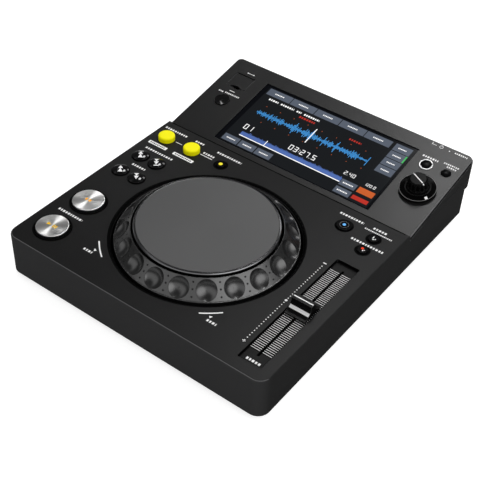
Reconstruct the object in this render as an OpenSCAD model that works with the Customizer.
// Tabletop deejay media player: jog wheel, tempo fader and a sloping touch-screen deck.
// Millimetres. X runs to the right, Y to the rear and Z up.
// The origin lies on the table, under the middle of the body.

/* [Body] */
// Width of the flat top on each side of the jog wheel's well
side_w = 48.4; // [46:0.2:54]
// Depth of the flat top in front of the well
front_w = 20.4; // [18:0.2:26]
// Depth of the flat top between the well and the seam
strip_w = 25.4; // [23:0.2:30]
// Height of the front wall, from the underside to the flat top
front_h = 36; // [35:0.5:42]
// Height of the feet
foot_h = 6; // [4:0.5:9]
// Diameter of the feet
foot_d = 18; // [12:1:24]
// Thickness of the moulded walls
wall_t = 2.6; // [2.2:0.1:3]
// Radius of the front corners, seen from above
front_corner_r = 10; // [6:0.5:12]
// Radius of the rear corners, seen from above
rear_corner_r = 6; // [4:0.5:8]
// Rounding along the edges of the flat top
edge_r = 1.4; // [0.6:0.1:2]
// How far the jack panel stands in under the rear wall
rear_step_d = 10; // [10:0.5:13]
// Height of the overhang above the underside
rear_step_h = 24.3; // [23:0.1:25]
// Thickness of the steel bottom plate
bottom_t = 1.2; // [0.8:0.1:1.6]

/* [Display deck] */
// Slope of the deck, in degrees
deck_angle = 11.1; // [9:0.1:13]
// Step down from the flat top to the front of the deck
deck_drop = 2.9; // [1.5:0.1:4]
// How far the deck stands in from the sides of the body
deck_inset = 1; // [0.6:0.1:1.4]
// Thickness of the lip along the deck's edge
deck_lip_t = 1.1; // [0.9:0.1:2]
// Shadow gap under the lip and along the seam
deck_gap = 1; // [0.5:0.1:1.2]
// Radius of the deck's rear corners
deck_corner_r = 5; // [3:0.5:7]

/* [Screen] */
// Height of the glass, along the slope
screen_h = 80.1; // [72:0.1:90]
// Width of the deck on each side of the glass
screen_side = 44.3; // [40:0.1:48]
// Deck in front of the glass, along the slope
screen_front = 8.15; // [7:0.05:12]
// Deck behind the glass, along the slope
screen_rear = 16.7; // [15:0.1:22]
// Depth of the glass below the deck
glass_drop = 0.8; // [0.4:0.1:1]
// Thickness of the glass
glass_t = 1.6; // [1.2:0.1:2]
// Thickness of the display module
lcd_t = 4.6; // [3.6:0.1:5]

/* [Deck controls] */
// The two columns of controls, from the sides of the body
column_x = 22; // [21:0.5:23]
// Diameter of the knob's skirt
knob_skirt_d = 30.8; // [26:0.1:31]
// Diameter of the knob's top
knob_d = 16; // [13:0.5:18]
// Height of the knob above the deck
knob_h = 13.5; // [11:0.5:16]
// Flutes round the knob
knob_flutes = 14; // [8:1:20]
// Diameter of the encoder shaft
encoder_d = 6; // [5:0.5:7]
// Travel of the knob when it is pressed
knob_travel = 0.5; // [0.3:0.1:0.8]
// Middle of the back and tag keys from the rear edge of the deck
back_rear = 28.9; // [24:0.1:30]
// The back key, inwards of the column
back_dx = 8.5; // [8:0.1:9]
// The tag key, outwards of the column
tag_dx = 10; // [9:0.1:11]
// Diameter of the back key
back_d = 9.4; // [8:0.2:10]
// Width of the bright ring round the back key
back_ring_w = 0.9; // [0.6:0.1:1.6]
// Diameter of the tag key
tag_d = 8.2; // [7:0.2:9]
// The eject key, up the slope from the middle of the glass
eject_up = 0.7; // [-3:0.1:3]
// Diameter of the eject key
eject_d = 13.5; // [11:0.5:15]
// Width of the socket door
door_w = 19.5; // [19:0.1:22]
// Length of the socket door, along the slope
door_l = 17; // [16:0.1:19]
// Thickness of the socket door
door_t = 1.6; // [1.2:0.1:2]
// Corner radius of the socket door
door_corner_r = 1.8; // [1:0.1:3]
// Front edge of the socket door from the rear edge of the deck
door_rear = 36; // [33:0.2:38]
// How far the socket door opens, in degrees
door_open = 95; // [80:1:95]
// Depth of the socket bay under the door
bay_deep = 6.6; // [6.2:0.1:7]
// The standby lamp from the rear edge of the deck
lamp_rear = 5.4; // [5:0.1:8]
// Diameter of the standby lamp
lamp_d = 2.2; // [1.6:0.1:3]

/* [Jog wheel] */
// Outer diameter of the grip ring
ring_d = 144.8; // [138:0.2:162]
// Gap between the grip ring and its well
well_gap = 2.2; // [1.6:0.1:3]
// Width of the bevel round the well
well_bevel = 1.4; // [0.6:0.1:1.6]
// Depth of the well below the flat top
well_deep = 14; // [13:0.5:15]
// Width of the grip ring, seen from above
ring_w = 13.5; // [12.4:0.1:15]
// Height of the platter above the flat top
platter_h = 14; // [13:0.2:16]
// Height of the grip ring's inner rim, below the platter
ring_below = 1.6; // [1.2:0.1:2.4]
// Gap between the platter's trim and the grip ring
platter_gap = 1.9; // [1.2:0.1:3]
// Width of the bright trim round the platter
trim_w = 2; // [1.2:0.1:2.6]
// Finger dimples round the grip ring
dimples = 20; // [12:1:22]
// Diameter of a dimple
dimple_d = 16.4; // [11:0.1:16.8]
// Depth of a dimple
dimple_deep = 2.8; // [1.4:0.1:3]
// Where the first dimple stands, in degrees from the right
dimple_turn = 2; // [0:0.5:18]
// Thickness of the grip ring's wall
ring_wall = 4.2; // [4:0.1:5]
// Diameter of the jog wheel's shaft
jog_shaft_d = 8; // [6:0.5:10]
// How far the platter gives under a hand
platter_travel = 0.5; // [0.3:0.1:0.6]

/* [Keys] */
// Play and cue keys from the left side
transport_x = 23.9; // [22:0.1:25]
// Middle of the play key from the front wall
play_y = 27.2; // [25:0.2:29]
// Middle of the cue key from the front wall
cue_y = 67.5; // [65:0.2:70]
// Diameter of the play and cue keys
transport_d = 26; // [22:0.5:27]
// How far the play and cue keys stand up
transport_rise = 2.6; // [2:0.1:4]
// Width of the collar round the play and cue keys
collar_w = 2.1; // [1.6:0.1:2.6]
// Travel of the play and cue keys
transport_travel = 1.2; // [0.8:0.1:1.4]
// First column of search keys from the left side
search_x = 15.5; // [14:0.1:16.5]
// Spacing of the search keys
search_dx = 17.4; // [16.5:0.1:18.5]
// Search keys, in front of the track keys
search_dy = 25.3; // [22:0.1:28]
// Track keys, in front of the loop keys
track_dy = 33.2; // [30:0.1:36]
// Diameter of the search and track keys
search_d = 14; // [12:0.2:14.6]
// Middle of the loop keys, in front of the seam
loop_seam = 22; // [20:0.5:23]
// The loop-in key from the left side
loop_in_x = 16; // [15:0.1:18]
// The loop-out key from the left side
loop_out_x = 43.7; // [42:0.1:46]
// Diameter of the loop keys
loop_d = 14.5; // [12:0.1:15]
// How far the loop keys stand up
loop_rise = 4.5; // [3:0.1:5.5]
// The reloop key from the left side
reloop_x = 75.1; // [73:0.1:78]
// Diameter of the small lit keys
lit_d = 8.6; // [7:0.1:9.4]
// The vinyl-mode key from the right side
vinyl_x = 47.6; // [45:0.1:50]
// Diameter of the vinyl-mode key
vinyl_d = 13; // [11:0.1:14]
// The tempo keys from the right side
tempo_x = 21; // [20:0.1:24]
// The tempo-range key, behind the line of the loop keys
tempo_back = 0.7; // [0:0.1:2]
// Spacing of the two tempo keys
tempo_dy = 16.3; // [15:0.1:18]
// How far a small key stands up
key_rise = 1.2; // [0.8:0.1:1.8]
// Travel of a small key
key_travel = 0.8; // [0.5:0.1:1]

/* [Tempo fader] */
// Middle of the fader from the right side
fader_x = 20.5; // [20:0.1:22]
// Flat top in front of the fader's recess
fader_front = 11.4; // [9:0.2:20]
// From the recess to the middle of the master-tempo key
fader_rear = 20; // [18:0.2:28]
// Width of the comb plate's recess
comb_w = 20.2; // [19:0.2:22]
// Recess left in front of the cap at the front end of its travel
comb_spare_front = 4.3; // [1:0.1:5]
// Recess left behind the cap at the rear end of its travel
comb_spare_rear = 0.7; // [0.5:0.1:2]
// Ribs along each side of the comb
comb_ribs = 51; // [21:2:61]
// Width of the fader's cap
cap_w = 17.5; // [15:0.1:18]
// Length of the fader's cap
cap_l = 21; // [17:0.1:21.4]
// Height of the cap's ridge above the flat top
cap_h = 9.4; // [8:0.1:12]
// Width of the cap's ridge
cap_ridge = 5.6; // [4:0.1:7]

/* [Jack panel] */
// Diameter of an audio socket's barrel
rca_d = 8.3; // [8.3:0.1:8.4]
// How far an audio socket stands out
rca_out = 8.5; // [7.5:0.1:9]
// Spacing of the two audio sockets
rca_dx = 16; // [14:0.5:20]
// The inner audio socket from the left end of the panel
rca_in = 44; // [40:0.5:48]
// The printer-type data socket, left of the middle
data_x = 22; // [18:0.5:26]
// The network socket, right of the middle
network_x = 8; // [4:0.5:12]
// The power inlet from the right end of the panel
inlet_in = 48; // [44:0.5:54]
// The power key from the right end of the panel
power_in = 12; // [11:0.5:16]
// Width of the power key
power_w = 12; // [10:0.5:14]

/* [Fits] */
// Gap between a moving part and what it passes
slip = 0.3; // [0.25:0.05:0.4]
// Radial play of a shaft in its bearing
bearing_play = 0.05; // [0.03:0.01:0.08]
// Gap between two fixed pieces that drop together
seat_gap = 0.2; // [0.1:0.05:0.3]

/* [Hidden] */
$fn = 64;
eps = 0.01;

// Colours of the mouldings and metals
case_black = [0.09, 0.09, 0.1];
deck_grey = [0.16, 0.16, 0.17];
ring_grey = [0.3, 0.3, 0.31];
platter_grey = [0.42, 0.42, 0.43];
key_yellow = [0.96, 0.95, 0.12];
board_green = [0.08, 0.3, 0.16];

// The jog wheel's rings, one inside the other
well_d = ring_d + 2 * well_gap;
ring_hole_d = ring_d - 2 * ring_w;
platter_d = ring_hole_d - 2 * (platter_gap + trim_w);

// The deck's length along its slope, and the body round the well and the deck
deck_len = screen_front + screen_h + screen_rear;
deck_run = deck_len * cos(deck_angle);
body_w = well_d + 2 * side_w;
body_d = front_w + well_d + strip_w + deck_run;
screen_w = body_w - 2 * screen_side;
screen_s = screen_front + screen_h / 2;
panel_end = 13;
panel_w = body_w - 2 * panel_end;

// Levels and edges of the body
hw = body_w / 2;
hd = body_d / 2;
base_z = foot_h;
top_z = base_z + front_h;
under_z = top_z - wall_t;
seam_y = hd - deck_run;
step_z = base_z + rear_step_h;
panel_y = hd - rear_step_d;
floor_z = base_z + bottom_t;

// The deck's own frame: x across, s up the slope from the seam, h square to it
deck_z = top_z - deck_drop;
rim_h = -(deck_lip_t + deck_gap);
skin_h = rim_h - 1.2;
seat_h = -(glass_drop + glass_t);
ledge_t = 1.6;
ledge_w = 2;
lip_end_s = deck_len - deck_inset - 0.4;
left_x = -hw + column_x;
right_x = hw - column_x;
knob_s = screen_s;
eject_s = screen_s + eject_up;
back_s = deck_len - back_rear;
door_s = deck_len - door_rear;
lamp_s = deck_len - lamp_rear;

// Places on the flat top
jog_cy = -hd + front_w + well_d / 2;
loop_cy = seam_y - loop_seam;
track_cy = loop_cy - track_dy;
search_cy = track_cy - search_dy;
play_at = [-hw + transport_x, -hd + play_y];
cue_at = [-hw + transport_x, -hd + cue_y];
search_at = [for (i = [0, 1]) [-hw + search_x + i * search_dx, search_cy]];
track_at = [for (i = [0, 1]) [-hw + search_x + i * search_dx, track_cy]];
loop_in_at = [-hw + loop_in_x, loop_cy];
loop_out_at = [-hw + loop_out_x, loop_cy];
reloop_at = [-hw + reloop_x, loop_cy];
vinyl_at = [hw - vinyl_x, loop_cy];
tempo_at = [hw - tempo_x, loop_cy + tempo_back];
master_at = [hw - tempo_x, tempo_at[1] - tempo_dy];

// Small keys of the flat top: [place, diameter]
top_keys = [
  [search_at[0], search_d], [search_at[1], search_d],
  [track_at[0], search_d], [track_at[1], search_d],
  [loop_in_at, loop_d], [loop_out_at, loop_d], [reloop_at, lit_d],
  [vinyl_at, vinyl_d], [tempo_at, lit_d], [master_at, lit_d]
];
transport_keys = [play_at, cue_at];

// Keys of the deck: [[x, s], diameter]
eject_at = [left_x, eject_s];
back_at = [right_x - back_dx, back_s];
tag_at = [right_x + tag_dx, back_s];
deck_keys = [[eject_at, eject_d], [back_at, back_d], [tag_at, tag_d]];

// Key works under a panel: flange, board and switch, all measured down from the panel's face
flange_t = 1.2;
flange_w = 1.2;
board_drop = 10;
board_t = 1.6;
switch_w = 6;
switch_h = 3.5;
switch_hole_d = 3.4;
tip_d = 2.8;
tip_in = 1;
collar_rise = 0.9;
collar_sleeve = 1.1;

// Jog wheel levels
platter_z = top_z + platter_h;
platter_t = 2.5;
ring_top_z = platter_z - ring_below;
well_floor_z = top_z - well_deep;
well_floor_t = 2;
well_wall = 2;
boss_d = 20;
boss_top_z = well_floor_z + 5;
boss_low_z = base_z + 9;
hub_z = boss_top_z + 0.8;
hub_plate_t = 2.6;
ring_foot_z = hub_z + hub_plate_t;
drum_d = platter_d - 26;
table_d = platter_d - 10;
table_z = platter_z - platter_t - platter_travel - 1.1;
sheet_t = 0.8;
disc_z = boss_low_z - 1.6;
disc_t = 0.8;
disc_d = 40;
pilot_d = 14;
pilot_in = 4.2;
pilot_hole = 5;
flange_out = 5;
flange_low = 1.4;
shaft_tail = 2.2;
shaft_collar = 2;
shaft_short = 6;
hub_in = 0.6;
table_t = 2.4;
drum_wall = 2.5;
core_wall = 7;
sheet_in = 2;
sheet_hole = 3;
disc_slots = 36;
disc_slot = [1.2, 4];

// The grip ring's face slopes at 45 degrees from its inner rim to a narrow outer land
face_sum = ring_hole_d / 2 + ring_top_z;
land_w = 0.9;
foot_land = 3;
land_z = face_sum - (ring_d / 2 - land_w);
dimple_r = (pow(dimple_d / 2, 2) + pow(dimple_deep, 2)) / (2 * dimple_deep);
face_mid_r = (ring_hole_d / 2 + ring_d / 2 - land_w) / 2 + 0.4;

// The fader's recess fills what the keys behind it leave; the cap's travel is what is left of it
comb_y0 = -hd + fader_front;
comb_y1 = master_at[1] - fader_rear;
fader_travel = comb_y1 - comb_y0 - cap_l - comb_spare_front - comb_spare_rear;
comb_front = fader_travel / 2 + cap_l / 2 + comb_spare_front;
comb_rear = fader_travel / 2 + cap_l / 2 + comb_spare_rear;
fader_cx = hw - fader_x;
fader_cy = comb_y0 + comb_front;

// Fader levels
comb_z = under_z;
comb_t = 1.4;
rib_h = 0.5;
rib_l = 0.8;
rib_edge = 0.9;
comb_rim = 2;
slot_w = 2.2;
slot_spare = 4.4;
slot_half = fader_travel / 2 + slot_spare;
lever_w = 1.2;
lever_l = 5;
lever_in_cap = 3;
housing_w = 10;
housing_h = 11;
housing_top_z = comb_z - comb_t;
housing_end = 13;
housing_len = fader_travel + 2 * housing_end;
housing_wall = 1;
housing_cap = 4;
rail_d = 2;
rail_dx = 2.6;
carriage_l = 12;
carriage_w = 7.4;
carriage_h = 4.8;
cap_low_z = top_z - 1;
cap_lip_h = 0.6;

// Encoder under the browse knob
bush_d = encoder_d + 3;
bush_up = 0.2;
encoder_box = 12;
encoder_box_h = 6;
plunger_d = 8;
plunger_t = 1.9;
plunger_pin_d = 3;
plunger_low = -board_drop + 1 + slip + knob_travel;
shaft_low = plunger_low + plunger_t + 0.1;
shaft_up = 8;
knob_low = knob_travel + slip + bush_up;

// Socket bay and door on the deck
door_slip = 0.25;
pin_d = 1.6;
knuckle_r = 1.5;
pin_s = door_s + door_l - knuckle_r;
pin_h = -knuckle_r;
door_rear_gap = 0.5;
bay_wall = 1.4;
bay_back_s = pin_s + knuckle_r + door_rear_gap;
bay_floor_h = -door_t - bay_deep;

// Boards inside
pillar_h = 4.8;
main_z = floor_z + pillar_h;
main_t = 1.6;
jack_z = main_z + main_t;
board_in = 10;
board_edge = hw - wall_t - board_in;
board_under = 24;
board_rear = 2.4;
board_gap = 4;
main_y0 = seam_y - board_under;
main_y1 = panel_y - wall_t - board_rear;
processor = [24, 24, 1.6];
processor_at = [-30, 44];
memory = [12, 16, 1.2];
memory_at = [8, 42];
memory_pitch = 20;
can_d = 6;
can_h = 6;
can_at = [13, 50];
can_pitch = 9;
coil = [22, 18, 14];
coil_at = [10, 40];
drum_can_d = 12;
drum_can_h = 14;
drum_can_at = [12, 34];
drum_can_pitch = 18;
pillar_d = 5;
pillar_in = 6;
pillar_rear = 14;
cable_t = 0.4;
key_cable_w = 16;
screen_cable_w = 24;
screen_cable_rear = 30;

// Screws and bosses of the bottom plate
boss_r = 4;
screw_r = 1.5;
screw_head_r = 2.9;
screw_head_h = 1.4;
boss_in = wall_t + boss_r - 0.6;
boss_front_in = 40;
boss_rear_in = 24;
boss_places = [
  for (side = [-1, 1])
    each [
      [side * (hw - boss_front_in), -hd + boss_in],
      [side * (hw - boss_in), (track_cy + loop_cy) / 2],
      [side * (hw - boss_in), panel_y - boss_rear_in]
    ]
];
foot_in = 26;
foot_pin_d = 5;
foot_shift = -2;
foot_places = [for (x = [-1, 1], y = [-1, 1]) [x * (hw - foot_in), y * (hd - foot_in) + foot_shift]];

// Posts that carry the key boards: on the flat top as [x, y], under the deck as [x, s]
post_r = 2.2;
post_edge = 6.5;
top_posts = [
  for (x = [-hw + post_edge, -hw + search_x + search_dx + 3.4])
    for (y = [(play_at[1] + cue_at[1]) / 2, (cue_at[1] + search_at[0][1]) / 2]) [x, y],
  [-hw + post_edge, (search_at[0][1] + track_at[0][1]) / 2],
  [(loop_out_at[0] + reloop_at[0]) / 2, loop_cy],
  [(vinyl_at[0] + tempo_at[0]) / 2, loop_cy],
  [(vinyl_at[0] + tempo_at[0]) / 2, master_at[1]],
  [hw - post_edge, (tempo_at[1] + master_at[1]) / 2]
];
deck_post_r = 1.7;
deck_posts = concat(
  [for (x = [-8, 8], s = [-8.3, 11.4]) [left_x + x, eject_s + s]],
  [for (x = [-11.6, 13], s = [-9, 12]) [right_x + x, knob_s + s]],
  [[right_x, back_s + 0.6]]);

// ---------- frames and shared shapes ----------

// Puts its children on the deck: x across, s up the slope, h square to it
module on_deck(x = 0, s = 0, h = 0) {
  translate([0, seam_y, deck_z])
    rotate([deck_angle, 0, 0])
      translate([x, s, h])
        children();
}

// Extrudes a side view, drawn as [y, z], right across the body
module side_prism(width) {
  rotate([90, 0, 90])
    linear_extrude(width, center = true)
      children();
}

// What a round corner takes away from the +x +y corner of a square
module corner_waste(x, y, r) {
  translate([x - r, y - r])
    difference() {
      square(r + 1);
      circle(r);
    }
}

// A rectangle from y0 to y1 with its own radii at the front and the rear
module plan(w, y0, y1, rf, rr) {
  difference() {
    translate([-w / 2, y0])
      square([w, y1 - y0]);
    for (side = [0, 1])
      mirror([side, 0]) {
        corner_waste(w / 2, y1, rr);
        translate([0, y0])
          mirror([0, 1])
            corner_waste(w / 2, 0, rf);
      }
  }
}

// What a rounding takes away along an edge: the origin is the sharp edge, outside is +x and +y
module edge_waste(r) {
  difference() {
    translate([-r, -r])
      square(r + 1);
    translate([-r, -r])
      circle(r);
  }
}

// A disc whose top edge is rounded
module round_disc(d, h, edge) {
  cylinder(d = d, h = h - edge);
  cylinder(d = d - 2 * edge, h = h);
  translate([0, 0, h - edge])
    rotate_extrude()
      translate([d / 2 - edge, 0])
        intersection() {
          circle(edge, $fn = 32);
          square(edge + 1);
        }
}

// A disc with a domed top: h at the rim, h + crown in the middle
module dome_disc(d, h, crown) {
  dome_r = (pow(d / 2, 2) + pow(crown, 2)) / (2 * crown);
  intersection() {
    cylinder(d = d, h = h + crown + 1);
    union() {
      translate([0, 0, -1])
        cylinder(d = d + 2, h = h + 1);
      translate([0, 0, h + crown - dome_r])
        sphere(dome_r);
    }
  }
}

// ---------- casing ----------

function rim_at(y) = deck_z + (y - seam_y) * tan(deck_angle) + rim_h / cos(deck_angle);
far = 20;

module case_side_view() {
  polygon([
    [-hd - far, base_z], [-hd - far, top_z], [seam_y, top_z],
    [seam_y, rim_at(seam_y)], [hd + far, rim_at(hd + far)],
    [hd + far, step_z], [panel_y, step_z], [panel_y, base_z]
  ]);
}

ledge_y = 5;
flange_y = 2.2;

module cavity_side_view() {
  polygon([
    [-hd - far, base_z - 1], [-hd - far, under_z],
    [seam_y - flange_y, under_z], [seam_y - flange_y, rim_at(seam_y) - 2.4],
    [seam_y + ledge_y, rim_at(seam_y + ledge_y) - 2.4], [seam_y + ledge_y, top_z + 60],
    [hd + far, top_z + 60], [hd + far, step_z + wall_t],
    [panel_y - wall_t, step_z + wall_t], [panel_y - wall_t, base_z - 1]
  ]);
}

module case_block() {
  intersection() {
    translate([0, 0, base_z])
      linear_extrude(top_z + 60)
        plan(body_w, -hd, hd, front_corner_r, rear_corner_r);
    side_prism(body_w + 2)
      case_side_view();
  }
}

module case_cavity() {
  intersection() {
    translate([0, 0, base_z - 1])
      linear_extrude(top_z + 60)
        plan(body_w - 2 * wall_t, -hd + wall_t, hd - wall_t,
             front_corner_r - wall_t, max(rear_corner_r - wall_t, 1));
    side_prism(body_w)
      cavity_side_view();
  }
}

// Rounds the front and side edges of the flat top
module top_edge_waste() {
  translate([0, 0, top_z]) {
    for (side = [0, 1])
      mirror([side, 0, 0]) {
        translate([hw, -hd + front_corner_r, 0])
          rotate([90, 0, 0])
            mirror([0, 0, 1])
              linear_extrude(body_d)
                edge_waste(edge_r);
        translate([hw - front_corner_r, -hd + front_corner_r, 0])
          rotate([0, 0, -90])
            rotate_extrude(angle = 90)
              translate([front_corner_r, 0])
                edge_waste(edge_r);
      }
    translate([hw - front_corner_r, -hd, 0])
      rotate([90, 0, -90])
        linear_extrude(body_w - 2 * front_corner_r)
          edge_waste(edge_r);
  }
}

overhang_r = 1.6;

// Rounds the lower edge of the rear overhang
module overhang_edge_waste() {
  corner_y = hd - rear_corner_r;
  translate([0, 0, step_z]) {
    for (side = [0, 1])
      mirror([side, 0, 0]) {
        translate([hw, panel_y, 0])
          rotate([-90, 0, 0])
            linear_extrude(corner_y - panel_y)
              edge_waste(overhang_r);
        translate([hw - rear_corner_r, corner_y, 0])
          rotate_extrude(angle = 90)
            translate([rear_corner_r, 0])
              mirror([0, 1])
                edge_waste(overhang_r);
      }
    translate([rear_corner_r - hw, hd, 0])
      rotate([-90, 0, -90])
        linear_extrude(body_w - 2 * rear_corner_r)
          mirror([1, 0])
            edge_waste(overhang_r);
  }
}

module case_boss_posts() {
  for (p = boss_places)
    translate([p[0], p[1], floor_z])
      cylinder(r = boss_r, h = under_z - floor_z - (p[1] > seam_y ? 9 : 0));
}

module upper_case() {
  color(case_black)
    difference() {
      union() {
        difference() {
          case_block();
          case_cavity();
          top_edge_waste();
          overhang_edge_waste();
        }
        case_boss_posts();
        for (p = top_posts)
          translate([p[0], p[1], top_z - board_drop])
            cylinder(r = post_r, h = board_drop - wall_t + eps, $fn = 32);
      }
      for (p = boss_places)
        translate([p[0], p[1], base_z - 1])
          cylinder(r = screw_r, h = screw_hole_deep + 1);
      translate([0, jog_cy, 0]) {
        translate([0, 0, under_z - 1])
          cylinder(d = well_d, h = wall_t + 2, $fn = 128);
        translate([0, 0, top_z - well_bevel])
          cylinder(d1 = well_d, d2 = well_d + 2 * well_bevel + 2, h = well_bevel + 1, $fn = 128);
      }
      for (k = top_keys)
        translate([k[0][0], k[0][1], under_z - 1])
          cylinder(d = k[1] + 2 * slip, h = wall_t + 2);
      for (p = transport_keys)
        translate([p[0], p[1], under_z - 1])
          cylinder(d = transport_d + 2 * (slip + collar_sleeve + seat_gap / 2), h = wall_t + 2);
      translate([fader_cx, fader_cy, under_z - 1])
        linear_extrude(wall_t + 2)
          plan(comb_w, -comb_front, comb_rear, 1, 1);
      jack_panel_hole();
    }
}

panel_low = base_z + 3.2;
panel_high = step_z - 1.4;

module jack_panel_hole() {
  translate([-panel_w / 2, panel_y - wall_t - 1, panel_low])
    cube([panel_w, wall_t + 2, panel_high - panel_low]);
}

vents = 8;
vent_w = 44;
vent_l = 2;
vent_pitch = 7;
vent_in = 62;
vent_y = seam_y + 6;
screw_l = 10;
screw_hole_deep = 13;
cross_l = 3.4;
cross_w = 0.7;
cross_deep = 0.9;

module bottom_plate() {
  color([0.2, 0.2, 0.21])
    difference() {
      translate([0, 0, base_z])
        linear_extrude(bottom_t)
          plan(body_w - 2 * wall_t - 2 * seat_gap, -hd + wall_t + seat_gap, panel_y - wall_t - seat_gap,
               front_corner_r - wall_t, 1);
      for (p = boss_places)
        translate([p[0], p[1], base_z - 1])
          cylinder(r = screw_r, h = bottom_t + 2);
      for (p = foot_places)
        translate([p[0], p[1], base_z - 1])
          cylinder(d = foot_pin_d, h = bottom_t + 2);
      for (side = [-1, 1], i = [0:vents - 1])
        translate([side * (hw - vent_in), vent_y + i * vent_pitch, base_z - 1])
          linear_extrude(bottom_t + 2)
            plan(vent_w, -vent_l / 2, vent_l / 2, vent_l / 2 - 0.1, vent_l / 2 - 0.1);
    }
}

module feet() {
  color([0.06, 0.06, 0.06])
    for (p = foot_places)
      translate([p[0], p[1], 0]) {
        cylinder(d1 = foot_d - 2, d2 = foot_d, h = base_z);
        translate([0, 0, base_z])
          cylinder(d = foot_pin_d, h = bottom_t);
        translate([0, 0, floor_z])
          cylinder(d1 = foot_pin_d + 2.4, d2 = foot_pin_d - 1, h = 1.8);
      }
}

module case_screws() {
  color([0.35, 0.35, 0.36])
    for (p = boss_places)
      translate([p[0], p[1], 0])
        difference() {
          union() {
            translate([0, 0, base_z - screw_head_h])
              cylinder(r1 = screw_head_r - 0.6, r2 = screw_head_r, h = screw_head_h);
            translate([0, 0, base_z])
              cylinder(r = screw_r, h = screw_l);
          }
          for (a = [0, 90])
            rotate([0, 0, a])
              translate([-cross_l / 2, -cross_w / 2, base_z - screw_head_h - eps])
                cube([cross_l, cross_w, cross_deep]);
        }
}

// ---------- jack panel and its sockets ----------

panel_t = 1.4;
panel_flange = 1.4;
panel_in = 0.6;
socket_deep = 16;
rca_x = panel_w / 2 - rca_in;
inlet_x = panel_w / 2 - inlet_in;
power_x = panel_w / 2 - power_in;
board_split_in = 16;
board_split = inlet_x - board_split_in;
rca_block = [10, 8, 12];
rca_z = jack_z + rca_block[2] / 2;
network_w = 13.6;
network_h = 11.6;
network_mouth = [11.8, 8.2];
network_z = jack_z + network_h / 2;
data_w = 12;
data_h = 10.8;
data_mouth = [8.5, 7.9];
data_z = jack_z + data_h / 2;
inlet_w = 20;
inlet_h = 12.4;
inlet_mouth = [14.6, 8.4];
inlet_z = jack_z + inlet_h / 2;
inlet_pin_dx = 4.3;
power_h = 8;
power_travel = 1.5;
power_z = jack_z + 1.6 + power_h / 2;
power_stem = 4;
mains_switch = [10, 10, 11];

module rear_window(x, w, h, z) {
  translate([x - w / 2, panel_y - 6, z - h / 2])
    cube([w, 12, h]);
}

module jack_panel() {
  color([0.13, 0.13, 0.14])
    difference() {
      union() {
        translate([-panel_w / 2 + seat_gap, panel_y - wall_t - eps, panel_low + seat_gap])
          cube([panel_w - 2 * seat_gap, wall_t - panel_in + eps, panel_high - panel_low - 2 * seat_gap]);
        translate([-panel_w / 2 - panel_flange, panel_y - wall_t - panel_t, panel_low - panel_flange])
          cube([panel_w + 2 * panel_flange, panel_t, panel_high - panel_low + 2 * panel_flange]);
      }
      for (i = [0, 1])
        translate([-rca_x - i * rca_dx, panel_y + 1, rca_z])
          rotate([90, 0, 0])
            cylinder(d = rca_d, h = 12);
      rear_window(-data_x, data_w, data_h, data_z);
      rear_window(network_x, network_w, network_h, network_z);
      rear_window(inlet_x, inlet_w, inlet_h, inlet_z);
      rear_window(power_x, power_w + 2 * slip, power_h + 2 * slip, power_z);
    }
}

module audio_sockets() {
  for (i = [0, 1])
    translate([-rca_x - i * rca_dx, panel_y, rca_z]) {
      color([0.8, 0.8, 0.8])
        rotate([-90, 0, 0])
          difference() {
            translate([0, 0, -wall_t - panel_t])
              cylinder(d = rca_d, h = rca_out + wall_t + panel_t);
            translate([0, 0, -panel_in])
              cylinder(d = rca_d - 1.6, h = rca_out + panel_in + 1);
          }
      color(i == 0 ? [0.9, 0.9, 0.9] : [0.75, 0.1, 0.1])
        rotate([-90, 0, 0])
          translate([0, 0, -panel_in])
            difference() {
              cylinder(d = rca_d - 1.6, h = rca_out + panel_in - 1);
              translate([0, 0, 1])
                cylinder(d = 3.3, h = rca_out + panel_in);
            }
      color([0.1, 0.1, 0.1])
        translate([-rca_block[0] / 2, -wall_t - panel_t - rca_block[1], -rca_block[2] / 2])
          cube(rca_block);
    }
}

// A metal-shelled socket on the main board, with a square mouth
module shell_socket(x, w, h, mouth) {
  translate([x, panel_y, jack_z])
    difference() {
      translate([-w / 2, -socket_deep, 0])
        cube([w, socket_deep - 0.4, h]);
      translate([-mouth[0] / 2, -socket_deep + 1.4, (h - mouth[1]) / 2])
        cube([mouth[0], socket_deep, mouth[1]]);
    }
}

module network_socket() {
  color([0.55, 0.55, 0.57]) {
    difference() {
      shell_socket(network_x, network_w, network_h, network_mouth);
      translate([network_x - 2, panel_y - 8, network_z - network_mouth[1] / 2 - 1.2])
        cube([4, 10, 2]);
    }
    for (i = [0:7])
      translate([network_x - 3.8 + i * 1.02, panel_y - 12, network_z + network_mouth[1] / 2 - 0.7])
        cube([0.4, 7, 0.7 + eps]);
  }
}

module data_socket() {
  color([0.6, 0.6, 0.62]) {
    shell_socket(-data_x, data_w, data_h, data_mouth);
    translate([-data_x - 2.8, panel_y - socket_deep + 1.4 - eps, data_z - 1.6])
      cube([5.6, socket_deep - 3, 3.2]);
  }
}

module power_inlet() {
  color([0.08, 0.08, 0.08])
    translate([inlet_x, panel_y - socket_deep, inlet_z])
      difference() {
        translate([-inlet_w / 2, 0, -inlet_h / 2])
          cube([inlet_w, socket_deep - 0.4, inlet_h]);
        rotate([-90, 0, 0])
          difference() {
            translate([0, 0, 3])
              linear_extrude(socket_deep)
                plan(inlet_mouth[0], -inlet_mouth[1] / 2, inlet_mouth[1] / 2,
                     inlet_mouth[1] / 2 - 0.1, inlet_mouth[1] / 2 - 0.1);
            for (side = [-1, 1])
              translate([side * inlet_pin_dx, 0, 0])
                cylinder(d = 2.4, h = 11.5);
          }
      }
}

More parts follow.
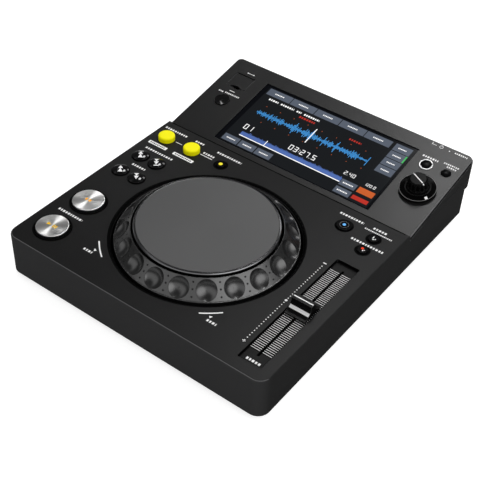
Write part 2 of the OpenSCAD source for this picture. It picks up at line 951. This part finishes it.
module power_key() {
  color([0.1, 0.1, 0.1])
    translate([power_x, panel_y, power_z]) {
      translate([-power_w / 2, -wall_t - panel_t - 1, -power_h / 2])
        cube([power_w, wall_t + panel_t + 3, power_h]);
      translate([-power_w / 2 - 1.2, -wall_t - panel_t - slip - 1.4, -power_h / 2 - 1])
        cube([power_w + 2.4, 1.4, power_h + 2]);
      translate([-2, -wall_t - panel_t - slip - 1.4 - power_stem, -2])
        cube([4, power_stem + eps, 4]);
    }
}

// ---------- display deck ----------

module deck_window(w, l, s, h0, h1, r) {
  translate([0, s, h0])
    linear_extrude(h1 - h0)
      plan(w, -l / 2, l / 2, r, r);
}

module deck_slab(inset, h0, h1, r) {
  translate([0, 0, h0])
    linear_extrude(h1 - h0)
      plan(body_w - 2 * inset, inset == deck_inset ? deck_gap : inset,
           lip_end_s - (inset - deck_inset), min(r, 2), r);
}

// Square at the corners, so that the ends of the hinge barrel have room to turn
module usb_bay_space() {
  translate([left_x - door_w / 2 - door_slip, door_s - door_slip, bay_floor_h])
    cube([door_w + 2 * door_slip, bay_back_s - door_s + door_slip, bay_deep + door_t + 1]);
}

// The hollow in front of the door that a fingertip reaches into
pit_w = 12;
pit_l = 3;
pit_deep = 2;

module finger_pit() {
  translate([left_x, door_s - door_slip, 0])
    scale([pit_w / 2, pit_l, pit_deep])
      sphere(1, $fn = 24);
}

module display_housing() {
  color(deck_grey)
    on_deck()
      difference() {
        union() {
          deck_slab(deck_inset, -deck_lip_t, 0, deck_corner_r);
          deck_slab(deck_inset + 0.8, rim_h, -deck_lip_t + eps, deck_corner_r - 0.8);
          translate([0, 0, skin_h])
            linear_extrude(rim_h - skin_h + eps)
              plan(body_w - 2 * wall_t - 2 * seat_gap, ledge_y + 0.6,
                   (deck_run - wall_t) / cos(deck_angle) - 1.2, 2, 2);
          deck_window(screen_w + 8, screen_h + 6, screen_s, seat_h - ledge_t, skin_h + eps, 2);
          translate([left_x - door_w / 2 - door_slip - bay_wall, door_s - door_slip - bay_wall,
                     bay_floor_h - bay_wall])
            cube([door_w + 2 * (door_slip + bay_wall), bay_back_s - door_s + door_slip + 2 * bay_wall,
                  skin_h - bay_floor_h + bay_wall + eps]);
          for (p = deck_posts)
            translate([p[0], p[1], -board_drop])
              cylinder(r = deck_post_r, h = board_drop + skin_h + eps, $fn = 32);
        }
        deck_window(screen_w + 2 * seat_gap, screen_h + 2 * seat_gap, screen_s, seat_h, 1, 0.8);
        deck_window(screen_w - 2 * ledge_w, screen_h - 2 * ledge_w, screen_s, seat_h - ledge_t - 1, 1, 0.8);
        for (k = deck_keys)
          translate([k[0][0], k[0][1], skin_h - 1])
            cylinder(d = k[1] + 2 * slip, h = 6);
        translate([right_x, knob_s, skin_h - 1])
          cylinder(d = bush_d + 2 * seat_gap, h = 6);
        translate([right_x, lamp_s, skin_h - 1])
          cylinder(d = lamp_d, h = 6);
        usb_bay_space();
        finger_pit();
        translate([left_x - door_w / 2 - door_slip - bay_wall - 1, pin_s, pin_h])
          rotate([0, 90, 0])
            cylinder(d = pin_d, h = door_w + 2 * (door_slip + bay_wall + 1));
        translate([left_x, door_s + 7.6, bay_floor_h - bay_wall - 1])
          linear_extrude(bay_wall + 2)
            square([usb_w, usb_t], center = true);
        deck_edge_chamfer();
      }
}

// Bevels the two long side edges of the lip
module deck_edge_chamfer() {
  bevel = 0.5;
  for (side = [-1, 1])
    translate([side * (hw - deck_inset), deck_len / 2, 0])
      rotate([0, 45, 0])
        cube([bevel * 1.414, deck_len + 2, bevel * 1.414], center = true);
}

module touch_glass() {
  color([0.03, 0.03, 0.04])
    on_deck()
      deck_window(screen_w, screen_h, screen_s, seat_h, -glass_drop, 0.6);
}

lcd_w = screen_w - 2 * ledge_w - 0.6;
lcd_l = screen_h - 2 * ledge_w - 0.6;
lcd_low_h = seat_h - lcd_t;

module lcd_module() {
  color([0.25, 0.35, 0.5])
    on_deck()
      deck_window(lcd_w, lcd_l, screen_s, lcd_low_h, seat_h, 0.5);
}

bracket_t = 1;
bracket_rim = 4;
bracket_band = 12;
bracket_post_d = 2.4;
bracket_post_out = 2.6;
bracket_post_in = 8;

module lcd_bracket() {
  color([0.6, 0.6, 0.62])
    on_deck()
      difference() {
        union() {
          deck_window(lcd_w + 2 * bracket_rim, lcd_l + 2 * bracket_rim, screen_s,
                      lcd_low_h - bracket_t, lcd_low_h, 2);
          for (x = [-1, 1], y = [-1, 1])
            translate([x * (lcd_w / 2 + bracket_post_out), screen_s + y * (lcd_l / 2 - bracket_post_in),
                       lcd_low_h - eps])
              cylinder(d = bracket_post_d, h = seat_h - ledge_t - lcd_low_h + eps);
        }
        deck_window(lcd_w - 2 * bracket_band, lcd_l - 2 * bracket_band, screen_s,
                    lcd_low_h - bracket_t - 1, lcd_low_h + 1, 4);
      }
}

back_ring_h = 0.6;

module back_key_ring() {
  color([0.82, 0.82, 0.84])
    on_deck(back_at[0], back_at[1], 0)
      difference() {
        round_disc(back_d + 2 * (slip + back_ring_w), back_ring_h, 0.3);
        translate([0, 0, -1])
          cylinder(d = back_d + 2 * slip, h = 3);
      }
}

module standby_lamp() {
  color([0.3, 0.9, 0.4])
    on_deck(right_x, lamp_s, 0) {
      translate([0, 0, skin_h])
        cylinder(d = lamp_d, h = -skin_h);
      translate([0, 0, skin_h - 0.8])
        cylinder(d = lamp_d + 1.6, h = 0.8);
    }
}

// ---------- socket bay ----------

usb_w = 13.1;
usb_t = 5.7;
usb_long = 13;

module usb_socket() {
  on_deck(left_x, door_s + 7.6, bay_floor_h - usb_long) {
    color([0.75, 0.75, 0.76])
      difference() {
        translate([-usb_w / 2, -usb_t / 2, 0])
          cube([usb_w, usb_t, usb_long]);
        translate([-usb_w / 2 + 0.3, -usb_t / 2 + 0.3, 1])
          cube([usb_w - 0.6, usb_t - 0.6, usb_long]);
      }
    color([0.1, 0.15, 0.3])
      translate([-5.5, -1.7, 1])
        cube([11, 1.84, usb_long - 2.5]);
  }
}

notch_r = 8.4;
notch_deep = 2;

// A plate with a hinge barrel along its rear edge and a shallow notch for a fingertip in its front edge
module socket_door() {
  color(case_black)
    on_deck(left_x, 0, 0)
      difference() {
        intersection() {
          union() {
            translate([-door_w / 2, door_s, -door_t])
              cube([door_w, pin_s - door_s, door_t]);
            translate([-door_w / 2, pin_s, pin_h])
              rotate([0, 90, 0])
                cylinder(r = knuckle_r, h = door_w);
          }
          translate([0, 0, -2 * knuckle_r - 1])
            linear_extrude(2 * knuckle_r + 2)
              plan(door_w, door_s, pin_s + knuckle_r, door_corner_r, door_corner_r);
        }
        translate([-door_w / 2 - 1, pin_s, pin_h])
          rotate([0, 90, 0])
            cylinder(d = pin_d + 2 * bearing_play, h = door_w + 2);
        translate([0, door_s - notch_r + notch_deep, -door_t - 1])
          cylinder(r = notch_r, h = door_t + 2);
      }
}

module door_pin() {
  color([0.7, 0.7, 0.7])
    on_deck(left_x - door_w / 2 - door_slip - bay_wall, pin_s, pin_h)
      rotate([0, 90, 0])
        cylinder(d = pin_d, h = door_w + 2 * (door_slip + bay_wall));
}

// ---------- jog wheel ----------

module jog_well() {
  color([0.05, 0.05, 0.05])
    translate([0, jog_cy, 0])
      difference() {
        union() {
          translate([0, 0, well_floor_z - well_floor_t])
            cylinder(d = well_d + 2 * well_wall, h = under_z - well_floor_z + well_floor_t, $fn = 128);
        }
        translate([0, 0, well_floor_z])
          cylinder(d = well_d, h = well_deep + 1, $fn = 128);
        translate([0, 0, base_z])
          cylinder(d = boss_d, h = front_h);
      }
}

module jog_bearing() {
  color([0.72, 0.6, 0.3])
    translate([0, jog_cy, 0])
      difference() {
        union() {
          translate([0, 0, boss_low_z])
            cylinder(d = boss_d, h = boss_top_z - boss_low_z);
          translate([0, 0, well_floor_z - well_floor_t - flange_low])
            cylinder(d = boss_d + 2 * flange_out, h = flange_low);
        }
        translate([0, 0, boss_low_z - 1])
          cylinder(d = jog_shaft_d + 2 * bearing_play, h = boss_top_z - boss_low_z + 2);
      }
}

module jog_shaft() {
  color([0.75, 0.75, 0.77])
    translate([0, jog_cy, 0]) {
      translate([0, 0, disc_z - shaft_tail])
        cylinder(d = jog_shaft_d, h = table_z - shaft_short - disc_z + shaft_tail);
      translate([0, 0, disc_z + disc_t])
        cylinder(d = jog_shaft_d + 2 * shaft_collar, h = boss_low_z - slip - disc_z - disc_t);
    }
}

module jog_hub() {
  color([0.12, 0.12, 0.13])
    translate([0, jog_cy, 0])
      difference() {
        union() {
          translate([0, 0, hub_z])
            cylinder(r = ring_d / 2 - hub_in, h = hub_plate_t, $fn = 128);
          translate([0, 0, hub_z])
            cylinder(d = drum_d, h = table_z - hub_z);
          translate([0, 0, table_z - table_t])
            cylinder(d = table_d, h = table_t);
        }
        translate([0, 0, hub_z + hub_plate_t])
          difference() {
            cylinder(d = drum_d - 2 * drum_wall, h = table_z - table_t - hub_z - hub_plate_t);
            cylinder(d = jog_shaft_d + 2 * core_wall, h = table_z);
          }
        translate([0, 0, hub_z - 1])
          cylinder(d = jog_shaft_d, h = table_z - shaft_short - hub_z + 1);
        translate([0, 0, table_z - pilot_hole])
          cylinder(d = pilot_d + 2 * slip, h = pilot_hole + 1);
      }
}

ring_foot_r = ring_d / 2 - 0.4;

module jog_ring() {
  color(ring_grey)
    translate([0, jog_cy, 0])
      difference() {
        rotate_extrude($fn = 128)
          polygon([
            [ring_foot_r, ring_foot_z], [ring_d / 2, land_z - 0.8], [ring_d / 2, land_z - 0.3],
            [ring_d / 2 - 0.3, land_z], [ring_d / 2 - land_w, land_z],
            [ring_hole_d / 2 + 0.4, ring_top_z - 0.4], [ring_hole_d / 2, ring_top_z - 0.4],
            [ring_hole_d / 2, ring_top_z - ring_wall / cos(45)],
            [ring_foot_r - foot_land, face_sum - ring_wall / cos(45) - ring_foot_r + foot_land],
            [ring_foot_r - foot_land, ring_foot_z]
          ]);
        for (i = [0:dimples - 1])
          rotate([0, 0, dimple_turn + i * 360 / dimples])
            translate([face_mid_r, 0, face_sum - face_mid_r])
              rotate([0, 45, 0])
                translate([0, 0, dimple_r - dimple_deep])
                  sphere(dimple_r);
      }
}

module touch_sheet() {
  color([0.5, 0.35, 0.15])
    translate([0, jog_cy, table_z])
      difference() {
        cylinder(d = table_d - 2 * sheet_in, h = sheet_t);
        translate([0, 0, -1])
          cylinder(d = pilot_d + 2 * sheet_hole, h = sheet_t + 2);
      }
}

module encoder_disc() {
  color([0.3, 0.3, 0.3])
    translate([0, jog_cy, disc_z])
      difference() {
        cylinder(d = disc_d, h = disc_t);
        translate([0, 0, -1])
          cylinder(d = jog_shaft_d, h = disc_t + 2);
        for (i = [0:disc_slots - 1])
          rotate([0, 0, i * 360 / disc_slots])
            translate([disc_d / 2 - disc_slot[1], -disc_slot[0] / 2, -1])
              cube([disc_slot[0] * 2, disc_slot[0], disc_t + 2]);
      }
}

module jog_platter() {
  color(platter_grey)
    translate([0, jog_cy, 0]) {
      translate([0, 0, platter_z - platter_t])
        cylinder(d = platter_d, h = platter_t, $fn = 128);
      translate([0, 0, table_z - pilot_in + platter_travel])
        cylinder(d = pilot_d, h = platter_z - platter_t - table_z + pilot_in - platter_travel + eps);
    }
}

module platter_trim() {
  color([0.8, 0.8, 0.82])
    translate([0, jog_cy, 0])
      rotate_extrude($fn = 128)
        polygon([
          [platter_d / 2, platter_z - platter_t], [platter_d / 2 + trim_w, platter_z - platter_t],
          [platter_d / 2 + trim_w, platter_z - 1.1], [platter_d / 2 + trim_w - 0.5, platter_z - 0.5],
          [platter_d / 2 + 0.4, platter_z - 0.1], [platter_d / 2, platter_z - 0.5]
        ]);
}

sensor_x0 = -46;
sensor_x1 = 14;
sensor_half = 14;
sensor_up = 2;
sensor_in = 3;
sensor_z = floor_z + sensor_up;
sensor_t = 1.2;
fork = [7, 6];
fork_wall = 1.6;
fork_gap = 0.7;
fork_over = 2;

module jog_sensor_board() {
  sensor_top = sensor_z + sensor_t;
  color(board_green)
    translate([0, jog_cy, 0]) {
      difference() {
        translate([sensor_x0, -sensor_half, sensor_z])
          cube([sensor_x1 - sensor_x0, 2 * sensor_half, sensor_t]);
        translate([0, 0, sensor_z - 1])
          cylinder(d = jog_shaft_d + 4, h = sensor_t + 2);
      }
      translate([-disc_d / 2 - fork_over, -fork[1] / 2, sensor_top - eps])
        difference() {
          cube([fork[0], fork[1], disc_z + disc_t + fork_over - sensor_top]);
          translate([fork_wall, -1, disc_z - sensor_top - fork_gap])
            cube([fork[0] + 1, fork[1] + 2, disc_t + 2 * fork_gap]);
        }
    }
}

// ---------- tempo fader ----------

rib_w = comb_w / 2 - slot_w / 2 - rib_edge;
rib_mid = slot_w / 2 + rib_w / 2;

module comb_plate() {
  color([0.08, 0.08, 0.08])
    translate([fader_cx, fader_cy, comb_z])
      difference() {
        union() {
          translate([0, 0, -comb_t])
            linear_extrude(comb_t)
              plan(comb_w + 2 * comb_rim, -comb_front - comb_rim, comb_rear + comb_rim, 1.5, 1.5);
          for (side = [-1, 1], i = [0:comb_ribs - 1])
            translate([side * rib_mid, (i / (comb_ribs - 1) - 0.5) * fader_travel, rib_h / 2 - eps])
              cube([rib_w, rib_l, rib_h], center = true);
        }
        translate([0, 0, -comb_t - 1])
          linear_extrude(comb_t + 2)
            plan(slot_w, -slot_half, slot_half, slot_w / 2 - 0.1, slot_w / 2 - 0.1);
      }
}

module fader_housing() {
  color([0.65, 0.65, 0.67])
    translate([fader_cx, fader_cy, housing_top_z - housing_h]) {
      difference() {
        translate([-housing_w / 2, -housing_len / 2, 0])
          cube([housing_w, housing_len, housing_h]);
        translate([-housing_w / 2 + housing_wall, -housing_len / 2 + housing_cap, housing_wall])
          cube([housing_w - 2 * housing_wall, housing_len - 2 * housing_cap, housing_h - 2 * housing_wall]);
        translate([-slot_w / 2, -slot_half, housing_h - housing_wall - 1])
          cube([slot_w, 2 * slot_half, housing_wall + 2]);
      }
      for (side = [-1, 1])
        translate([side * rail_dx, housing_len / 2 - housing_cap, housing_h / 2])
          rotate([90, 0, 0])
            cylinder(d = rail_d, h = housing_len - 2 * housing_cap);
    }
}

module fader_carriage() {
  color([0.85, 0.85, 0.8])
    translate([fader_cx, fader_cy, housing_top_z - housing_h]) {
      difference() {
        translate([-carriage_w / 2, -carriage_l / 2, (housing_h - carriage_h) / 2])
          cube([carriage_w, carriage_l, carriage_h]);
        for (side = [-1, 1])
          translate([side * rail_dx, carriage_l / 2 + 1, housing_h / 2])
            rotate([90, 0, 0])
              cylinder(d = rail_d + 2 * bearing_play, h = carriage_l + 2);
      }
      translate([-lever_w / 2, -lever_l / 2, (housing_h + carriage_h) / 2 - eps])
        cube([lever_w, lever_l,
              cap_low_z + lever_in_cap - housing_top_z + (housing_h - carriage_h) / 2 + eps]);
    }
}

cap_r = (cap_l - cap_ridge) / 2 - 1;

module cap_side_view() {
  difference() {
    translate([-cap_l / 2, cap_low_z])
      square([cap_l, top_z + cap_h - cap_low_z]);
    for (side = [-1, 1])
      translate([side * (cap_ridge / 2 + cap_r), top_z + cap_lip_h + cap_r])
        union() {
          circle(cap_r);
          translate([side > 0 ? 0 : -cap_l, -cap_r])
            square([cap_l, cap_l]);
          translate([-cap_r, 0])
            square([2 * cap_r, cap_l]);
        }
  }
}

module fader_cap() {
  color([0.12, 0.12, 0.12])
    translate([fader_cx, fader_cy, 0])
      difference() {
        side_prism(cap_w)
          cap_side_view();
        translate([-lever_w / 2, -lever_l / 2, cap_low_z - 1])
          cube([lever_w, lever_l, lever_in_cap + 1]);
      }
}

// ---------- keys ----------

// A key's works under a panel of thickness t: skirt, flange, stem and the tip that works its switch
module key_works(d, t, travel) {
  low = -t - slip - flange_t;
  translate([0, 0, low])
    cylinder(d = d, h = -low + eps);
  translate([0, 0, low])
    cylinder(d = d + 2 * flange_w, h = flange_t);
  translate([0, 0, -board_drop + switch_h + travel + slip])
    cylinder(d = min(d, 5), h = low + board_drop - switch_h - travel - slip + eps);
  translate([0, 0, -board_drop + switch_h - tip_in])
    cylinder(d = tip_d, h = travel + slip + tip_in + eps);
}

module top_key(at, d, travel = key_travel) {
  translate([at[0], at[1], top_z]) {
    key_works(d, wall_t, travel);
    children();
  }
}

module deck_key(at, d) {
  on_deck(at[0], at[1], 0) {
    key_works(d, -skin_h, key_travel);
    children();
  }
}

module transport_key(at) {
  color([0.78, 0.78, 0.76])
    top_key(at, transport_d, transport_travel)
      round_disc(transport_d, transport_rise, 0.6);
}

module dome_key(at) {
  color([0.05, 0.05, 0.05])
    top_key(at, search_d)
      dome_disc(search_d, key_rise, 1.6);
}

module loop_key(at) {
  color(key_yellow)
    top_key(at, loop_d)
      round_disc(loop_d, loop_rise, 1.6);
}

module lit_key(at, tint) {
  color(tint)
    top_key(at, lit_d)
      round_disc(lit_d, key_rise, 0.4);
}

module play_key() {
  transport_key(play_at);
}

module cue_key() {
  transport_key(cue_at);
}

module search_back_key() {
  dome_key(search_at[0]);
}

module search_forward_key() {
  dome_key(search_at[1]);
}

module track_back_key() {
  dome_key(track_at[0]);
}

module track_forward_key() {
  dome_key(track_at[1]);
}

module loop_in_key() {
  loop_key(loop_in_at);
}

module loop_out_key() {
  loop_key(loop_out_at);
}

module reloop_key() {
  lit_key(reloop_at, [0.6, 0.55, 0.1]);
}

module vinyl_mode_key() {
  color([0.1, 0.1, 0.12])
    top_key(vinyl_at, vinyl_d)
      difference() {
        round_disc(vinyl_d, key_rise, 0.4);
        translate([0, 0, key_rise - 0.4])
          difference() {
            cylinder(d = vinyl_d - 3, h = 1);
            cylinder(d = vinyl_d - 5.4, h = 3, center = true);
          }
      }
}

module tempo_range_key() {
  lit_key(tempo_at, [0.2, 0.2, 0.2]);
}

module master_tempo_key() {
  lit_key(master_at, [0.7, 0.1, 0.08]);
}

module eject_key() {
  color([0.06, 0.06, 0.06])
    deck_key(eject_at, eject_d)
      difference() {
        round_disc(eject_d, key_rise, 0.4);
        translate([0, 0, key_rise - 0.7 + 40])
          sphere(40);
      }
}

low_crown = 0.7;

module back_key() {
  color([0.08, 0.08, 0.08])
    deck_key(back_at, back_d)
      dome_disc(back_d, key_rise - low_crown, low_crown);
}

module tag_key() {
  color([0.08, 0.08, 0.08])
    deck_key(tag_at, tag_d)
      dome_disc(tag_d, key_rise - low_crown, low_crown);
}

module transport_collars() {
  color([0.04, 0.04, 0.04])
    for (p = transport_keys)
      translate([p[0], p[1], top_z])
        difference() {
          union() {
            round_disc(transport_d + 2 * (slip + collar_w), collar_rise, 0.4);
            translate([0, 0, -wall_t])
              cylinder(d = transport_d + 2 * (slip + collar_sleeve), h = wall_t + eps);
          }
          translate([0, 0, -wall_t - 1])
            cylinder(d = transport_d + 2 * slip, h = wall_t + 4);
        }
}

// ---------- browse knob ----------

module encoder_housing() {
  color([0.7, 0.7, 0.72])
    on_deck(right_x, knob_s, 0)
      difference() {
        union() {
          translate([-encoder_box / 2, -encoder_box / 2, -board_drop])
            cube([encoder_box, encoder_box, encoder_box_h]);
          translate([0, 0, -board_drop])
            cylinder(d = bush_d, h = board_drop + bush_up);
        }
        translate([0, 0, -board_drop + 1])
          cylinder(d = plunger_d + 2 * slip, h = encoder_box_h - 2);
        translate([0, 0, -board_drop + 1])
          cylinder(d = encoder_d + 2 * bearing_play, h = board_drop + bush_up + 2);
      }
}

module encoder_plunger() {
  color([0.2, 0.2, 0.22])
    on_deck(right_x, knob_s, plunger_low) {
      cylinder(d = plunger_d, h = plunger_t);
      cylinder(d = plunger_pin_d, h = plunger_t + 2.6);
    }
}

module encoder_shaft() {
  color([0.8, 0.8, 0.8])
    on_deck(right_x, knob_s, shaft_low)
      difference() {
        cylinder(d = encoder_d, h = shaft_up - shaft_low);
        translate([0, 0, -1])
          cylinder(d = plunger_pin_d + 2 * bearing_play, h = 4);
      }
}

knob_taper = 1;
knob_bevel = [1.5, 1];
knob_base_h = knob_low + 3.4;
flute_r = 1.5;

module browse_knob() {
  color([0.06, 0.06, 0.06])
    on_deck(right_x, knob_s, 0)
      difference() {
        rotate_extrude()
          polygon([
            [0, knob_low + 0.2],
            [knob_skirt_d / 2 - 1.6, knob_low + 0.2],
            [knob_skirt_d / 2 - 1.2, knob_low],
            [knob_skirt_d / 2 - 0.4, knob_low],
            [knob_skirt_d / 2, knob_low + 0.4],
            [knob_skirt_d / 2, knob_low + 1.6],
            [knob_skirt_d / 2 - 0.5, knob_low + 2.2],
            [knob_d / 2 + knob_taper + 1.7, knob_base_h],
            [knob_d / 2 + knob_taper + 1.5, knob_base_h - 0.5],
            [knob_d / 2 + knob_taper + 0.8, knob_base_h - 0.5],
            [knob_d / 2 + knob_taper, knob_base_h + 0.8],
            [knob_d / 2, knob_h - knob_bevel[1] - 0.3],
            [knob_d / 2 - 0.2, knob_h - knob_bevel[1]],
            [knob_d / 2 - knob_bevel[0], knob_h],
            [0, knob_h]
          ]);
        translate([0, 0, -1])
          cylinder(d = encoder_d, h = shaft_up + 1);
        for (i = [0:knob_flutes - 1])
          rotate([0, 0, (i + 0.5) * 360 / knob_flutes])
            translate([knob_d / 2 + flute_r - 0.6, 0, knob_base_h + 1.6])
              cylinder(r = flute_r, h = knob_h);
      }
}

// ---------- boards ----------

module switch_block() {
  difference() {
    translate([-switch_w / 2, -switch_w / 2, 0])
      cube([switch_w, switch_w, switch_h]);
    translate([0, 0, 0.6])
      cylinder(d = switch_hole_d, h = switch_h);
  }
}

module key_switches() {
  color([0.15, 0.15, 0.16]) {
    for (k = concat([for (k = top_keys) k[0]], transport_keys))
      translate([k[0], k[1], top_z - board_drop])
        switch_block();
    for (k = deck_keys)
      on_deck(k[0][0], k[0][1], -board_drop)
        switch_block();
    translate([power_x, panel_y - wall_t - panel_t - 1.4 - power_stem - power_travel - 2 * slip, jack_z])
      translate([-mains_switch[0] / 2, -mains_switch[1], 0])
        cube(mains_switch);
  }
}

// Keeps a board under the flat top clear of the screw bosses and of the jog wheel's well
module board_clearance() {
  for (p = boss_places)
    translate(p)
      circle(boss_r + 0.6);
  translate([0, jog_cy])
    circle(d = well_d + 2 * well_wall + 1, $fn = 128);
}

board_side = hw - wall_t - 1;
left_board_x = -hw + search_x + search_dx + 5.8;
back_board_x = reloop_at[0] + 5.5;
board_front_y = play_at[1] - 12;
board_rear_y = loop_cy + 9;
loop_board_front = 7;
right_board_front = 6;
right_board_left = 9;
eject_board = [22, 24];
eject_board_front = 10.5;
knob_board = [30, 20];
knob_board_left = 14;
knob_board_front = 12;
key_board_z = top_z - board_drop - board_t;

// Boards under the flat top: down the left side and behind it, and on the right; two more on the deck
module key_boards() {
  color(board_green) {
    translate([0, 0, key_board_z]) {
      linear_extrude(board_t)
        difference() {
          union() {
            translate([-board_side, board_front_y])
              square([left_board_x + board_side, board_rear_y - board_front_y]);
            translate([-board_side, loop_cy - loop_board_front])
              square([back_board_x + board_side, board_rear_y - loop_cy + loop_board_front]);
          }
          board_clearance();
        }
      linear_extrude(board_t)
        difference() {
          translate([vinyl_at[0] - right_board_left, master_at[1] - right_board_front])
            square([board_side - vinyl_at[0] + right_board_left,
                    board_rear_y - master_at[1] + right_board_front]);
          board_clearance();
        }
    }
    on_deck(left_x, eject_s, -board_drop - board_t)
      translate([-eject_board[0] / 2, -eject_board_front, 0])
        cube([eject_board[0], eject_board[1], board_t]);
    on_deck(right_x, knob_s, -board_drop - board_t)
      translate([-knob_board_left, -knob_board_front, 0])
        cube([knob_board[0], back_s - knob_s + knob_board[1], board_t]);
  }
}

module main_board() {
  color(board_green)
    translate([-board_edge, main_y0, main_z])
      cube([board_edge + board_split, main_y1 - main_y0, main_t]);
  color([0.1, 0.1, 0.1]) {
    translate([processor_at[0], main_y0 + processor_at[1], jack_z])
      cube(processor);
    for (i = [0, 1])
      translate([memory_at[0], main_y0 + memory_at[1] + i * memory_pitch, jack_z])
        cube(memory);
    for (i = [0:3])
      translate([-board_edge + can_at[0] + i * can_pitch, main_y0 + can_at[1], jack_z])
        cylinder(d = can_d, h = can_h);
  }
}

module power_board() {
  power_x0 = board_split + board_gap;
  color([0.55, 0.45, 0.2])
    translate([power_x0, main_y0, main_z])
      cube([board_edge - power_x0, main_y1 - main_y0, main_t]);
  color([0.75, 0.65, 0.2])
    translate([power_x0 + coil_at[0], main_y0 + coil_at[1], jack_z])
      cube(coil);
  color([0.1, 0.1, 0.12])
    for (i = [0, 1])
      translate([board_edge - drum_can_at[0], main_y0 + drum_can_at[1] + i * drum_can_pitch, jack_z])
        cylinder(d = drum_can_d, h = drum_can_h);
}

board_pillar_xs = [
  -board_edge + pillar_in, board_split - pillar_in,
  board_split + board_gap + pillar_in, board_edge - pillar_in
];

module board_pillars() {
  color([0.8, 0.75, 0.5]) {
    for (x = board_pillar_xs, y = [main_y0 + pillar_in, main_y1 - pillar_rear])
      translate([x, y, floor_z])
        cylinder(d = pillar_d, h = pillar_h, $fn = 24);
    for (x = [sensor_x0 + sensor_in, sensor_x1 - sensor_in], y = [-1, 1])
      translate([x, jog_cy + y * (sensor_half - sensor_in), floor_z])
        cylinder(d = pillar_d, h = sensor_z - floor_z, $fn = 24);
  }
}

// A flat cable that stands between the main board and what it serves
module flat_cable(x, y, w, top) {
  translate([x, y, jack_z])
    cube([w, cable_t, top - jack_z]);
}

function deck_z_at(y, h) = deck_z + (y - seam_y) * tan(deck_angle) + h / cos(deck_angle);

module flat_cables() {
  color([0.85, 0.85, 0.88]) {
    flat_cable(back_board_x - key_cable_w - pillar_in, main_y0 + pillar_in, key_cable_w, key_board_z);
    flat_cable(-screen_cable_w, main_y1 - screen_cable_rear, screen_cable_w,
               deck_z_at(main_y1 - screen_cable_rear, lcd_low_h - bracket_t));
  }
}

// ---------- one line for each sub-part ----------

upper_case();
bottom_plate();
feet();
case_screws();
jack_panel();
display_housing();
touch_glass();
lcd_module();
lcd_bracket();
jog_well();
jog_bearing();
jog_sensor_board();
comb_plate();
fader_housing();
main_board();
power_board();
key_boards();
key_switches();
board_pillars();
flat_cables();
transport_collars();
back_key_ring();
encoder_housing();
standby_lamp();
door_pin();
usb_socket();
audio_sockets();
data_socket();
network_socket();
power_inlet();
jog_shaft();
jog_hub();
jog_ring();
touch_sheet();
encoder_disc();
jog_platter();
platter_trim();
fader_cap();
fader_carriage();
play_key();
cue_key();
search_back_key();
search_forward_key();
track_back_key();
track_forward_key();
loop_in_key();
loop_out_key();
reloop_key();
vinyl_mode_key();
tempo_range_key();
master_tempo_key();
eject_key();
back_key();
tag_key();
power_key();
encoder_plunger();
encoder_shaft();
browse_knob();
socket_door();
